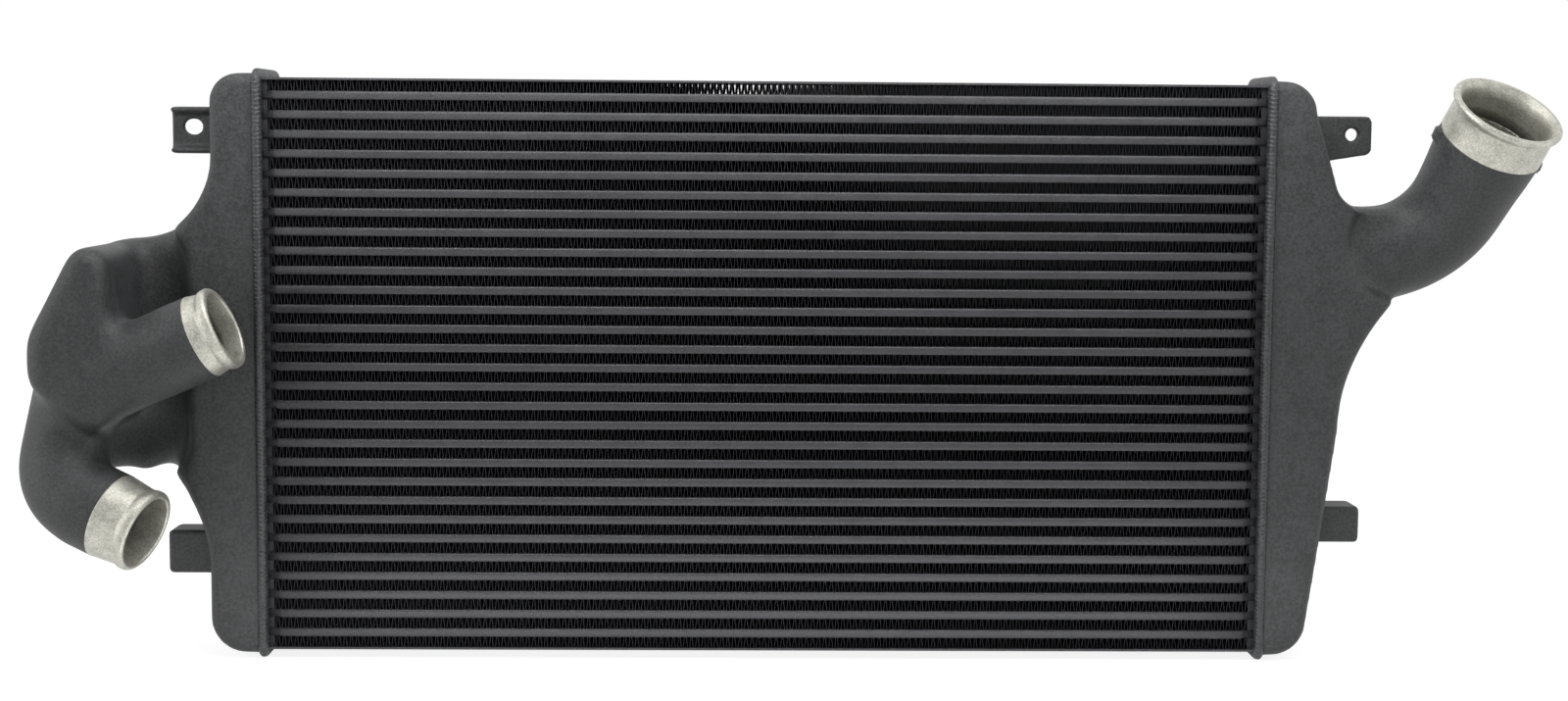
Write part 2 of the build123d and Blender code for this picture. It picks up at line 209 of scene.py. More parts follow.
world = bpy.data.worlds.new("light_tent")
bpy.context.scene.world = world
world.use_nodes = True
tree = world.node_tree
tree.nodes.clear()
rays = add_node(tree, "ShaderNodeLightPath")
clear = add_node(tree, "ShaderNodeMath", "MAXIMUM", rays.outputs["Is Glossy Ray"],
                 rays.outputs["Is Transmission Ray"])
look = add_node(tree, "ShaderNodeSeparateXYZ",
                Vector=add_node(tree, "ShaderNodeTexCoord").outputs["Generated"])
walls = add_node(tree, "ShaderNodeMapRange", {"interpolation_type": "SMOOTHSTEP"},
                 look.outputs["Y"], *OPENING, FRONT_LEVEL, 1.0)
level = add_node(tree, "ShaderNodeMapRange", None, clear, 0.0, 1.0, TENT_LEVEL, 1.0)
lit = add_node(tree, "ShaderNodeMath", "MULTIPLY", walls, level)
strength = add_node(tree, "ShaderNodeMath", "MAXIMUM", lit, rays.outputs["Is Camera Ray"])
tent = add_node(tree, "ShaderNodeBackground", Color=WHITE, Strength=strength)
add_node(tree, "ShaderNodeOutputWorld", Surface=tent)
bpy.context.scene.view_settings.view_transform = "Standard"
print("tent", TENT_LEVEL, "front", FRONT_LEVEL)

# %% Lamps
# Each lamp: its place, the point it looks at, its width and height (m), its power (W)
LAMPS = {
    "sky_lamp": ((0.0, -0.35, 1.3), (0.0, -0.1, 0.2), (1.8, 0.8), 6),
    "eave_lamp": ((0.0, -0.16, 0.5), (0.0, -0.03, 0.36), (0.8, 0.06), 1.0),
    "table_lamp": ((0.0, -0.15, 0.015), (0.0, -0.03, 0.1), (0.8, 0.04), 0.3),
    "left_lamp": ((-1.5, -0.5, 0.5), (-0.3, 0.0, 0.2), (0.8, 1.0), 4),
    "right_lamp": ((1.5, -0.5, 0.5), (0.3, 0.0, 0.2), (0.8, 1.0), 2),
}
for name, (place, target, size, power) in LAMPS.items():
    lamp_data = bpy.data.lights.new(name, "AREA")
    lamp_data.shape = "RECTANGLE"
    lamp_data.size, lamp_data.size_y = size
    lamp_data.energy = power
    lamp = add_object(name, lamp_data)
    aim = (Vector(target) - Vector(place)).to_track_quat("-Z", "Y")
    lamp.matrix_world = Matrix.Translation(place) @ aim.to_matrix().to_4x4()
    lamp.visible_camera = False
print(len(LAMPS), "soft lamps")

# %% [markdown]
# ## Finishes
# Everything outside but the neck ends wears one thin satin black coat, sprayed after
# brazing and welding. It follows the metal below: sand grain on the castings, a smoother
# skin on the rolled bars and the welds, and a darker, duller coat on the fins' sheet. The
# neck ends stay bare, blasted aluminium. Real sand grain is finer than this view can show,
# so each grain here is drawn as coarse as it needs to be seen. One function makes all five
# surfaces, because they differ only in their colours, sizes and gloss.

# %% Grained metal
NOISE_SPAN = (0.3, 0.7)             # nearly all values of a noise texture lie between


def grained(name, colours, ramp, blotch, grain, grain_share, roughness, sway,
            metallic=0.0, roughness_from_grain=False):
    """Surface with broad blotches and fine grain, in colour, roughness and relief.

    blotch is (size mm, detail, softness) and grain is (size mm, depth mm). The roughness
    goes up and down by sway with the grain or, by default, with the blotches.
    """
    surface = bpy.data.materials.new(name)
    surface.use_nodes = True
    tree = surface.node_tree
    shader = tree.nodes["Principled BSDF"]
    shader.inputs["Metallic"].default_value = metallic
    place = add_node(tree, "ShaderNodeTexCoord").outputs["Object"]
    blotch_size, blotch_detail, blotch_softness = blotch
    grain_size, grain_depth = grain
    blotches = add_node(tree, "ShaderNodeTexNoise", Vector=place,
                        Scale=1 / (blotch_size * MM), Detail=blotch_detail,
                        Roughness=blotch_softness)
    grains = add_node(tree, "ShaderNodeTexNoise", Vector=place,
                      Scale=1 / (grain_size * MM), Detail=2.0, Roughness=0.6)
    both = add_node(tree, "ShaderNodeMix", {"data_type": "FLOAT"}, Factor=grain_share,
                    i2=blotches.outputs["Fac"], i3=grains.outputs["Fac"])
    colour_ramp = add_node(tree, "ShaderNodeValToRGB", Fac=both)
    for stop, position, colour in zip(colour_ramp.color_ramp.elements, ramp, colours):
        stop.position = position
        stop.color = linear(colour)
    tree.links.new(colour_ramp.outputs["Color"], shader.inputs["Base Color"])
    source = grains if roughness_from_grain else blotches
    rough = add_node(tree, "ShaderNodeMapRange", None, source.outputs["Fac"], *NOISE_SPAN,
                     roughness - sway, roughness + sway)
    tree.links.new(rough.outputs[0], shader.inputs["Roughness"])
    bump = add_node(tree, "ShaderNodeBump", Height=grains.outputs["Fac"],
                    Distance=grain_depth * MM, Strength=1.0)
    tree.links.new(bump.outputs["Normal"], shader.inputs["Normal"])
    return surface


# %% Satin black coat over each kind of metal
def coat(name, colours, spread, roughness, grain):
    """Satin black spray coat: mottled a little, with the grain of the metal below."""
    return grained(name, colours, ramp=(0.5 - spread, 0.5 + spread),
                   blotch=(14.0, 4.0, 0.6), grain=grain, grain_share=0.65,
                   roughness=roughness, sway=0.05)


# Each coat: its dark and light colour, how soft their border is, its roughness, and its
# grain as (size mm, depth mm). The casting breaks the light up most, the fins least.
coated_casting = coat("satin_coat_on_sand_casting", ("#2a2b2c", "#474849"), 0.11, 0.55,
                      (1.9, 0.2))
coated_core = coat("satin_coat_on_rolled_bar", ("#313133", "#48484b"), 0.12, 0.45,
                   (1.6, 0.06))
coated_fins = coat("dull_coat_on_folded_sheet", ("#222226", "#34343a"), 0.2, 0.6,
                   (0.8, 0.02))
coated_weld = coat("satin_coat_on_weld_metal", ("#2c2d2e", "#47484a"), 0.12, 0.4,
                   (1.4, 0.06))
print("coats:", coated_casting.name, coated_core.name, coated_fins.name, coated_weld.name)

# %% Bare blasted aluminium
# Pale, warm grey and matt: small stains show in its colour, blasting marks in its relief
bare_aluminium = grained("blasted_bare_aluminium", ("#a09f95", "#d6d4ca"),
                         ramp=(0.36, 0.62), blotch=(9.0, 5.0, 0.65), grain=(1.2, 0.12),
                         grain_share=0.6, roughness=0.5, sway=0.06, metallic=0.8,
                         roughness_from_grain=True)
print("bare metal:", bare_aluminium.name)

# %% [markdown]
# ## Castings
# Each end tank is a sand casting, so its forms flow into each other in soft fillets. The
# CAD solid meets itself in sharp corners. A voxel remesh turns it into one even skin.
# Then every point drifts towards the middle of its neighbours, which rounds edges, and
# in the hollows between forms a longer drift, outwards only, lays a fillet as the sand
# does. The lugs, feet and the ground near the machined necks drift hardly at all. The
# machined neck ends are cut off at the edge of the coat and made separately, because
# a remesh would blunt them.

# %% Neck sizes
# In mm: the bare length, the diameter where the coat ends and that behind the lip, and
# how deep the bore stays bare. The other sizes come from the record's mounts.
NECKS = {
    "large_neck_lip":
        dict(tank="right_tank", bare=28.0, root=74.0, neck=73.5, seen=80.0),
    "upper_small_neck_lip":
        dict(tank="left_tank", bare=17.5, root=58.5, neck=56.0, seen=100.0),
    "lower_small_neck_lip":
        dict(tank="left_tank", bare=28.0, root=60.5, neck=57.0, seen=46.0),
}
LIP_WIDTH = 5.5
NECK_WALL = 3.8
for name, neck in NECKS.items():
    neck["axis"] = Vector(mounts[name]["axis"]).normalized()
    neck["rim"] = Vector(mounts[name]["pos_m"]) + neck["axis"] * LIP_WIDTH / 2 * MM
    neck["lip_radius"] = mounts[name]["dims"]["r_mm"]
    print(name, "rim at", [round(v, 4) for v in neck["rim"]])


def along_neck(point, neck):
    """Distance of a point along a neck's axis from its rim, and off that axis."""
    along = (point - neck["rim"]).dot(neck["axis"])
    return along, (point - neck["rim"] - neck["axis"] * along).length


# %% Web of the left casting
# A plate of metal between the flat duct's end and the lower elbow, which the solid leaves
# open, in mm: its outline as (x, z) and its front and back as y
WEB_OUTLINE = ((-486.0, 122.0), (-442.0, 129.5), (-442.0, 175.0), (-486.0, 175.0))
WEB_FRONT, WEB_BACK = -8.5, 34.0
BOX_FACES = ((0, 1, 2, 3), (7, 6, 5, 4), (4, 5, 1, 0), (5, 6, 2, 1), (6, 7, 3, 2),
             (7, 4, 0, 3))


def add_web(shape):
    """Adds the web's six faces to the left casting."""
    verts = [shape.verts.new(Vector((x, y, z)) * MM)
             for y in (WEB_FRONT, WEB_BACK) for x, z in WEB_OUTLINE]
    for face in BOX_FACES:
        shape.faces.new([verts[corner] for corner in face])


print(f"web {WEB_BACK - WEB_FRONT:.1f} mm through")

# %% Even skin of a casting
VOXEL = 1.8 * MM
SAME_POINT = 1e-6                   # m: nearer than this, two points are one


def evaluated_mesh(piece):
    """New mesh of a piece, as its modifiers leave it."""
    bpy.context.view_layer.update()
    evaluated = piece.evaluated_get(bpy.context.evaluated_depsgraph_get())
    return bpy.data.meshes.new_from_object(evaluated)


def voxel_skin(node_name):
    """Copy of a casting's node as one skin of even small faces."""
    mesh = nodes[node_name].data.copy()
    skin = add_object(node_name + "_casting", mesh)
    shape = bmesh.new()
    shape.from_mesh(mesh)
    bmesh.ops.remove_doubles(shape, verts=shape.verts, dist=SAME_POINT)
    if node_name == "left_tank":
        add_web(shape)
    shape.to_mesh(mesh)
    shape.free()
    remesh = skin.modifiers.new("skin", "REMESH")
    remesh.mode = "VOXEL"
    remesh.voxel_size = VOXEL
    even = evaluated_mesh(skin)
    skin.modifiers.clear()
    skin.data = even
    skin.data.materials.clear()
    skin.data.materials.append(coated_casting)
    skin.data.materials.append(bare_aluminium)
    return skin


# %% Where a casting is soft
def ease(value, low, high):
    """0 below low, 1 above high, smooth between; works on arrays."""
    share = np.clip((value - low) / (high - low), 0, 1)
    return share * share * (3 - 2 * share)


# Where softness starts and is full, in mm: "out" from the core's end, "up" from its foot
MOUTH_OUT = (1.0, 8.0)
PLATE_OUT = (33.0, 40.0)            # beyond the tank's face stand the lugs and the feet
LEFT_DUCT_UP = (100.0, 116.0)
LEFT_DUCT_TOP = (328.0, 345.0)
LEFT_ELBOW_OUT = (74.0, 84.0)
LEFT_BODY_OUT = (34.0, 62.0)
RIGHT_BODY_UP = (150.0, 190.0)
RIGHT_BODY_TOP = (330.0, 345.0)
RIGHT_BODY_OUT = (42.0, 60.0)
RIGHT_NECK_OUT = (84.0, 96.0)
NECK_STIFF, NECK_SOFT = 16.0, 34.0  # back from the edge of the bare metal
NECK_AROUND = 14.0                  # out from the lip
LUG_GRIP = 0.85
PLATE_EDGES = 0.14
FILL = {"left_tank": 1.0, "right_tank": 0.12}


def softness(points, node_name):
    """How freely each point drifts: (edges, hollows), 0 to 1 each; points in mm."""
    outwards = np.abs(points[:, 0]) - core_end / MM
    height = points[:, 2]
    mouth = ease(outwards, *MOUTH_OUT)
    if node_name == "left_tank":
        duct = ease(height, *LEFT_DUCT_UP) * (1 - ease(height, *LEFT_DUCT_TOP))
        elbow = ease(outwards, *LEFT_ELBOW_OUT)
        body = np.maximum(duct, elbow) * ease(outwards, *LEFT_BODY_OUT)
    else:
        body = ease(height, *RIGHT_BODY_UP) * ease(outwards, *RIGHT_BODY_OUT)
        body *= np.maximum(1 - ease(height, *RIGHT_BODY_TOP),
                           ease(outwards, *RIGHT_NECK_OUT))
    lugs = ease(outwards, *PLATE_OUT) * (1 - body)
    edges = mouth * (1 - LUG_GRIP * lugs)
    edges = edges * (PLATE_EDGES + (1 - PLATE_EDGES) * body)
    hollows = mouth * body * FILL[node_name]
    for neck in NECKS.values():
        if neck["tank"] != node_name:
            continue
        rim, axis = np.array(neck["rim"]) / MM, np.array(neck["axis"])
        along = (points - rim) @ axis
        off = np.linalg.norm(points - rim - along[:, None] * axis, axis=1)
        keep = ease(-along, neck["bare"] + NECK_STIFF, neck["bare"] + NECK_SOFT)
        near = ((along > -(neck["bare"] + NECK_SOFT))
                & (off < neck["lip_radius"] + NECK_AROUND))
        edges = np.where(near, edges * keep, edges)
        hollows = np.where(near, hollows * keep, hollows)
    return edges, hollows


print("fillets:", FILL)

# %% Drift of the skin
EDGE_ROUNDS = 60
HOLLOW_ROUNDS = 300
LAST_ROUNDS = 4
NORMALS_EVERY = 10
STEP = 0.5                          # share of the way to its neighbours' middle
SLIDE = 0.5                         # how much of that way is kept along the surface


def drift(skin, node_name):
    """Rounds the edges of a skin and fills its hollows, by the softness of each place."""
    mesh = skin.data
    count = len(mesh.vertices)
    flat = np.empty(count * 3)
    mesh.vertices.foreach_get("co", flat)
    points = flat.reshape(-1, 3)
    ends = np.empty(len(mesh.edges) * 2, dtype=np.int64)
    mesh.edges.foreach_get("vertices", ends)
    one, other = ends.reshape(-1, 2).T
    members = np.concatenate([one, other])
    partners = np.concatenate([other, one])
    share = 1.0 / np.bincount(members, minlength=count)
    edges, hollows = softness(points / MM, node_name)

    def pull():
        """Way from each point to the middle of its neighbours."""
        middle = np.stack([np.bincount(members, weights=points[partners, axis],
                                       minlength=count) for axis in range(3)], axis=1)
        return middle * share[:, None] - points

    for _ in range(EDGE_ROUNDS):
        points += STEP * edges[:, None] * pull()
    for step in range(HOLLOW_ROUNDS):
        if step % NORMALS_EVERY == 0:
            mesh.vertices.foreach_set("co", points.ravel())
            mesh.update()
            normals = np.empty(count * 3)
            mesh.vertex_normals.foreach_get("vector", normals)
            normals = normals.reshape(-1, 3)
        way = pull()
        rise = np.sum(way * normals, axis=1)
        across = way - rise[:, None] * normals
        gain = hollows * np.maximum(rise, 0)
        points += STEP * (gain[:, None] * normals + (SLIDE * hollows)[:, None] * across)
    for _ in range(LAST_ROUNDS):
        points += STEP * edges[:, None] * pull()
    mesh.vertices.foreach_set("co", points.ravel())
    mesh.update()


print("drift:", EDGE_ROUNDS, "rounds for edges,", HOLLOW_ROUNDS, "for hollows")

# %% Cut the machined ends off
CUT_AROUND = 4                      # mm: how far past the lip and the bare end to look
RIM_AROUND = 2
BORE_SKIN = 1.2                     # mm: the remeshed bore lies this far out at most
BARE_SLOT = 1                       # the bare metal's place in the casting's materials


def cut_neck(skin, neck):
    """Takes the bare end of a neck off the casting and marks its bore as bare metal."""
    shape = bmesh.new()
    shape.from_mesh(skin.data)
    stop = neck["rim"] - neck["axis"] * neck["bare"] * MM

    def near(point, margin):
        along, off = along_neck(point, neck)
        return (-(neck["bare"] + margin) * MM < along
                and off < (neck["lip_radius"] + CUT_AROUND) * MM)

    around = [face for face in shape.faces if near(face.calc_center_median(), CUT_AROUND)]
    edges = {edge for face in around for edge in face.edges}
    verts = {vert for face in around for vert in face.verts}
    bmesh.ops.bisect_plane(shape, geom=list(verts) + list(edges) + around, dist=1e-7,
                           plane_co=stop, plane_no=neck["axis"])
    gone = [vert for vert in shape.verts
            if (vert.co - stop).dot(neck["axis"]) > SAME_POINT and near(vert.co, 0)]
    bmesh.ops.delete(shape, geom=gone, context="VERTS")
    rim_edges = [edge for edge in shape.edges if edge.is_boundary
                 and near((edge.verts[0].co + edge.verts[1].co) / 2, RIM_AROUND)]
    bmesh.ops.bridge_loops(shape, edges=rim_edges)
    bore = (neck["neck"] / 2 - NECK_WALL + BORE_SKIN) * MM
    for face in shape.faces:
        middle = face.calc_center_median()
        along, off = along_neck(middle, neck)
        outwards = middle - neck["rim"] - neck["axis"] * along
        if -neck["seen"] * MM < along and off < bore and face.normal.dot(outwards) < 0:
            face.material_index = BARE_SLOT
    shape.to_mesh(skin.data)
    shape.free()


def shade(mesh, smooth):
    """Shades every face smooth, or every face flat."""
    mesh.polygons.foreach_set("use_smooth", [smooth] * len(mesh.polygons))


for node_name in ("left_tank", "right_tank"):
    skin = voxel_skin(node_name)
    drift(skin, node_name)
    for neck in NECKS.values():
        if neck["tank"] == node_name:
            cut_neck(skin, neck)
    shade(skin.data, True)
    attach(skin, "root")
    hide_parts(node_name)
    print(skin.name, len(skin.data.polygons), "faces")

# %% [markdown]
# ## Machined neck ends
# The last stretch of each neck is turned on a lathe and left bare for the hose. The two
# small necks end in a broad gentle bead with a shallow groove behind it. The large one
# ends in a narrow ring with a flat end face. Each section is a short list of radii and
# distances back from the rim, spun about the neck's own axis.

# %% Sections of the turned ends
def rounded(centre, radius, start, end, steps):
    """Points (radius, back) on a round corner that touches the rim, angles in degrees."""
    angles = [math.radians(start + (end - start) * step / steps)
              for step in range(steps + 1)]
    return [(centre + radius * math.sin(angle), radius - radius * math.cos(angle))
            for angle in angles]


def taper(neck, edge, step, end, parts):
    """The neck from the edge of the coat to behind the lip: a small step, a slow taper."""
    root, tube, bare = neck["root"] / 2, neck["neck"] / 2, neck["bare"]
    return [(root, bare), (root - edge, bare - step)] + [
        (root - edge + (tube - root) * part, bare - step + (end - bare) * part)
        for part in parts]


def small_section(neck):
    """Taper, shallow groove, broad bead that rolls over into the bore."""
    bead_round, mouth_round = 3.0, 1.3
    tube, lip = neck["neck"] / 2, neck["lip_radius"]
    bore = tube - NECK_WALL
    section = taper(neck, 0.15, 0.6, 11.5, (0.3, 0.6, 1.0))
    section += [(tube - 0.3, 9.8), (tube - 0.35, 8.8), (tube - 0.1, 7.9),
                (lip - 0.55, 6.9), (lip - 0.2, 5.8), (lip - 0.02, 4.6)]
    section += rounded(lip - bead_round, bead_round, 80, 0, 6)
    section += rounded(bore + mouth_round, mouth_round, 0, -90, 4)[:-1]
    return section + [(bore, 1.4)]


def large_section(neck):
    """Plain band, thin proud ring and a flat end face with a soft inner edge."""
    ring_inset, ring_round, face_width, mouth_round = 0.25, 1.8, 4.2, 0.6
    tube, lip = neck["neck"] / 2, neck["lip_radius"] - ring_inset
    bore, mouth = tube - NECK_WALL, lip - face_width
    section = taper(neck, 0.1, 0.5, 7.6, (0.35, 0.7, 1.0))
    section += [(tube + 0.25, 6.3), (tube + 1.1, 5.2), (lip - 1.2, 4.3), (lip - 0.35, 3.2)]
    section += rounded(lip - ring_round, ring_round, 95, 0, 4)
    section += rounded(mouth + mouth_round, mouth_round, 0, -60, 3)
    return section + [((mouth + bore) / 2, 2.4), (bore, 4.6)]


print("sections:", {name: neck["lip_radius"] for name, neck in NECKS.items()})

# %% Spin the turned ends
AROUND = 144
BORE_PARTS = (0.4, 0.7, 1.0)        # where the bore has points, as shares of its length


def face_outwards(mesh):
    """Turns the faces of a closed mesh outwards."""
    shape = bmesh.new()
    shape.from_mesh(mesh)
    bmesh.ops.recalc_face_normals(shape, faces=shape.faces)
    shape.to_mesh(mesh)
    shape.free()


def turned_end(name, neck, section):
    """Spins a section, closed by the bore and the back face, about the neck's axis."""
    bore = neck["neck"] / 2 - NECK_WALL
    section = section + [(bore, neck["bare"] * part) for part in BORE_PARTS]
    side = neck["axis"].orthogonal().normalized()
    other = neck["axis"].cross(side)
    verts = []
    for step in range(AROUND):
        angle = 2 * math.pi * step / AROUND
        ray = side * math.cos(angle) + other * math.sin(angle)
        verts += [neck["rim"] + (ray * radius - neck["axis"] * back) * MM
                  for radius, back in section]
    count = len(section)
    faces = [(a * count + b, a * count + (b + 1) % count,
              (a + 1) % AROUND * count + (b + 1) % count, (a + 1) % AROUND * count + b)
             for a in range(AROUND) for b in range(count)]
    mesh = bpy.data.meshes.new(name)
    mesh.from_pydata(verts, [], faces)
    mesh.update()
    face_outwards(mesh)
    shade(mesh, True)
    mesh.materials.append(bare_aluminium)
    return add_object(name, mesh)


for name, neck in NECKS.items():
    section = large_section(neck) if name == "large_neck_lip" else small_section(neck)
    end = turned_end(name.replace("_lip", "_end"), neck, section)
    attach(end, "root")
    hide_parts(neck["tank"])
    print(end.name, len(end.data.polygons), "faces")

# %% [markdown]
# ## Weld beads
# A weld is laid as a row of small pools, each of which freezes over the last, so its
# surface is a row of overlapping crescents about 3 mm apart. A grid is wrapped round the
# joint in Geometry Nodes: one way runs along the joint, the other way round the
# bead's section, and a saw-shaped ripple raises the skin. A bump texture would be less
# work, but the crescents show in the bead's outline too.

# %% Bead sizes and geometry tree helpers
def new_tree(name, sizes):
    """Empty geometry tree with these named sizes: (tree, the sizes' sockets, result)."""
    tree = bpy.data.node_groups.new(name, "GeometryNodeTree")
    for size, value in sizes.items():
        socket = tree.interface.new_socket(size, in_out="INPUT",
                                           socket_type="NodeSocketFloat")
        socket.default_value = value
    tree.interface.new_socket("Geometry", in_out="OUTPUT",
                              socket_type="NodeSocketGeometry")
    take = tree.nodes.new("NodeGroupInput").outputs
    return tree, take, tree.nodes.new("NodeGroupOutput").inputs[0]


def grown(name, tree, values, smooth=True):
    """Object whose mesh the tree makes, with the modifier applied and removed."""
    piece = add_object(name, bpy.data.meshes.new(name))
    modifier = piece.modifiers.new("grow", "NODES")
    modifier.node_group = tree
    for item in tree.interface.items_tree:
        if item.item_type == "SOCKET" and item.in_out == "INPUT" and item.name in values:
            modifier[item.identifier] = values[item.name]
    mesh = evaluated_mesh(piece)
    piece.modifiers.clear()
    piece.data = mesh
    shade(mesh, smooth)
    return piece


MATH = "ShaderNodeMath"
VECTOR_MATH = "ShaderNodeVectorMath"
COMBINE = "ShaderNodeCombineXYZ"
BEAD_SIZES = {"Joint x": core_end, "Half width": 3.9 * MM, "Height": 5.6 * MM,
              "Ripple pitch": 3.0 * MM, "Ripple height": 0.7 * MM, "Path half depth": 0.0,
              "Path bottom": 0.0, "Path top": 0.0}
print("bead sizes in mm:", {size: round(v / MM, 1) for size, v in BEAD_SIZES.items()})

# %% Weld bead path
# The path runs round the core's end, inside the bead, at its height below its crown
ALONG, ROUND = 1980, 22             # faces along the joint, and round the bead
PATH_CORNER = 4.0 * MM
CORNER_POINTS = 8

weld_tree, take, weld_result = new_tree("weld_bead", BEAD_SIZES)
node = partial(add_node, weld_tree)
grid = node("GeometryNodeMeshGrid", Size_X=1.0, Size_Y=1.0,
            Vertices_X=ALONG + 1, Vertices_Y=ROUND + 1)
flat = node("ShaderNodeSeparateXYZ", Vector=node("GeometryNodeInputPosition"))
share_along = node(MATH, "ADD", flat.outputs["X"], 0.5)
share_round = node(MATH, "ADD", flat.outputs["Y"], 0.5)
path_height = node(MATH, "SUBTRACT", take["Path top"], take["Path bottom"])
path_middle = node(MATH, "MULTIPLY",
                   node(MATH, "ADD", take["Path top"], take["Path bottom"]), 0.5)
path_depth = node(MATH, "MULTIPLY", take["Path half depth"], 2.0)
outline = node("GeometryNodeCurvePrimitiveQuadrilateral",
               Width=path_depth, Height=path_height)
corners = node("GeometryNodeFilletCurve", {"mode": "POLY"},
               Curve=outline, Radius=PATH_CORNER, Count=CORNER_POINTS)
path = node("GeometryNodeTransform", Geometry=corners,
            Translation=node(COMBINE, X=take["Joint x"], Z=path_middle),
            Rotation=(math.radians(90), 0, math.radians(90)))
length = node("GeometryNodeCurveLength", Curve=path)
distance = node(MATH, "MULTIPLY", share_along, length)
sample = node("GeometryNodeSampleCurve", {"mode": "LENGTH"}, Curves=path, Length=distance)
print("weld path:", len(weld_tree.nodes), "nodes")

# %% Weld bead ripples
WANDER_EVERY = 7 * MM               # the welder's hand drifts over about this length
CRESCENT_BOW = 0.45                 # how far a crescent's ends trail, in ripples
UNEVEN = 0.9                        # how far the ripples wander, in ripples
RIPPLE_POWER = 1.6                  # above 1, a ripple rises slowly and then steeply
SWELL = 0.5 * MM

out = node(VECTOR_MATH, "CROSS_PRODUCT", sample.outputs["Tangent"], (1.0, 0.0, 0.0))
angle = node(MATH, "MULTIPLY", share_round, 2 * math.pi)
across = node(MATH, "SINE", angle)
outward = node(MATH, "COSINE", angle)
wander = node("ShaderNodeTexNoise", {"noise_dimensions": "1D"},
              W=node(MATH, "MULTIPLY", distance, 1 / WANDER_EVERY), Detail=1.0)
bow = node(MATH, "MULTIPLY", node(MATH, "POWER", node(MATH, "ABSOLUTE", across), 2.0),
           CRESCENT_BOW)
count = node(MATH, "DIVIDE", distance, take["Ripple pitch"])
phase = node(MATH, "ADD", node(MATH, "ADD", count, bow),
             node(MATH, "MULTIPLY", wander, UNEVEN))
saw = node(MATH, "FRACT", phase)
ripple = node(MATH, "MULTIPLY", node(MATH, "POWER", saw, RIPPLE_POWER),
              take["Ripple height"])
swell = node(MATH, "MULTIPLY", node(MATH, "SUBTRACT", wander, 0.5), SWELL)
reach = node(MATH, "SUBTRACT", node(MATH, "SUBTRACT", take["Height"], ripple),
             node(MATH, "ABSOLUTE", swell))
side = node(MATH, "ADD", node(MATH, "SUBTRACT", take["Half width"], ripple), swell)
out_by = node(VECTOR_MATH, "SCALE", out, Scale=node(MATH, "MULTIPLY", outward, reach))
side_by = node(COMBINE, X=node(MATH, "MULTIPLY", across, side))
moved = node(VECTOR_MATH, "ADD", sample.outputs["Position"], out_by)
moved = node(VECTOR_MATH, "ADD", moved, side_by)
wrapped = node("GeometryNodeSetPosition", Geometry=grid, Position=moved)
closed = node("GeometryNodeMergeByDistance", Geometry=wrapped, Distance=0.01 * MM)
coated = node("GeometryNodeSetMaterial", Geometry=closed, Material=coated_weld)
weld_tree.links.new(coated.outputs[0], weld_result)
print("weld tree:", len(weld_tree.nodes), "nodes")

# %% Grow both beads
for side_name in ("left", "right"):
    low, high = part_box(side_name + "_weld_bead")
    height = BEAD_SIZES["Height"]
    bead = grown(side_name + "_weld", weld_tree, {
        "Joint x": (low.x + high.x) / 2, "Path half depth": high.y - height,
        "Path bottom": low.z + height, "Path top": high.z - height})
    face_outwards(bead.data)
    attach(bead, "root")
    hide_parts(side_name + "_weld_bead")
    print(bead.name, len(bead.data.polygons), "faces")

# %% [markdown]
# ## Cooling fins
# Each row between two tubes holds one long strip of thin sheet, folded about every 2 mm.
# The folds bend on their way through the core, so that air cannot slip straight past.
# The top strip bends only half as much, so a little light shows through it. The strip is
# a line of points lifted into a wave, pushed back twice and given its thickness, then
# repeated per row: real folds, because light falls into each of them.

# %% Fin strip as a wave of points
FIN_SIZES = {"Length": fins_high.x - fins_low.x, "Height": fin_height,
             "Depth": fins_high.y - fins_low.y, "Fold pitch": 4.32 * MM,
             "Crest": 1.3 * MM, "Bend": 3.3 * MM, "Sheet": 0.3 * MM,
             "Row pitch": row_pitch, "Rows": float(fin_rows), "First row": 0.0}
TOP_BEND = 1.7 * MM
JITTER = 0.18 * MM                  # how far a fold stands off its place
JITTER_SEED = 7

fin_tree, take, fin_result = new_tree("folded_fins", FIN_SIZES)
node = partial(add_node, fin_tree)
folds = node(MATH, "FLOOR", node(MATH, "DIVIDE", take["Length"], take["Fold pitch"]))
points = node(MATH, "ADD", node(MATH, "MULTIPLY", folds, 4.0), 1.0)
quarter = node(MATH, "DIVIDE", take["Length"], node(MATH, "MULTIPLY", folds, 4.0))
step = node(COMBINE, X=quarter)
start = node(COMBINE, X=node(MATH, "MULTIPLY", take["Length"], -0.5),
             Y=node(MATH, "MULTIPLY", take["Depth"], -0.5))
line = node("GeometryNodeMeshLine", {"mode": "OFFSET"}, Count=points,
            Start_Location=start, Offset=step)
index = node("GeometryNodeInputIndex")
turn = node(MATH, "MODULO", index, 4.0)
high = node(MATH, "GREATER_THAN", turn, 1.5)
odd = node(MATH, "MODULO", index, 2.0)
lean = node(MATH, "SUBTRACT", node(MATH, "MULTIPLY", take["Crest"], 0.5),
            node(MATH, "MULTIPLY", quarter, 0.5))
lean = node(MATH, "MULTIPLY", lean,
            node(MATH, "SUBTRACT", node(MATH, "MULTIPLY", odd, 2.0), 1.0))
jitter = node("FunctionNodeRandomValue", {"data_type": "FLOAT"}, Seed=JITTER_SEED,
              i2=-JITTER, i3=JITTER)
rise = node(MATH, "MULTIPLY", node(MATH, "SUBTRACT", high, 0.5), take["Height"])
fold = node(COMBINE, Z=rise, X=node(MATH, "ADD", lean, jitter.outputs[1]))
wave = node("GeometryNodeSetPosition", Geometry=line, Offset=fold)
print("fin wave:", len(fin_tree.nodes), "nodes")

